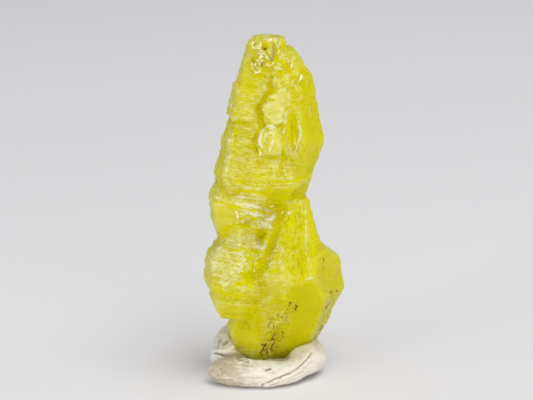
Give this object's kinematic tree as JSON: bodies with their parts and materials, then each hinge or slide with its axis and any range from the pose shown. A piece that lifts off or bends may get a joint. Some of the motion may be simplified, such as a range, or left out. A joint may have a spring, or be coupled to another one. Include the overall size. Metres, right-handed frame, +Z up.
{
  "type": "native sulfur crystal specimen",
  "caption": "Tall translucent yellow native sulfur crystal, striated and stepped, stood upright in a curled roll of white mounting putty.",
  "frame": {"origin": "middle of the footprint, on the surface the putty stands on", "axes": "+Z up along the crystal, -Y the striated front, +X to the right as seen from the front"},
  "size_m": [0.0186, 0.0156, 0.0456],
  "materials": {
    "sulfur": "translucent, resinous lustre, finely striated",
    "putty": "soft matt putty, hand rolled"
  },
  "bodies": {
    "root": {"sulfur_crystal": "sulfur", "mounting_putty": "putty"}
  },
  "joints": []
}
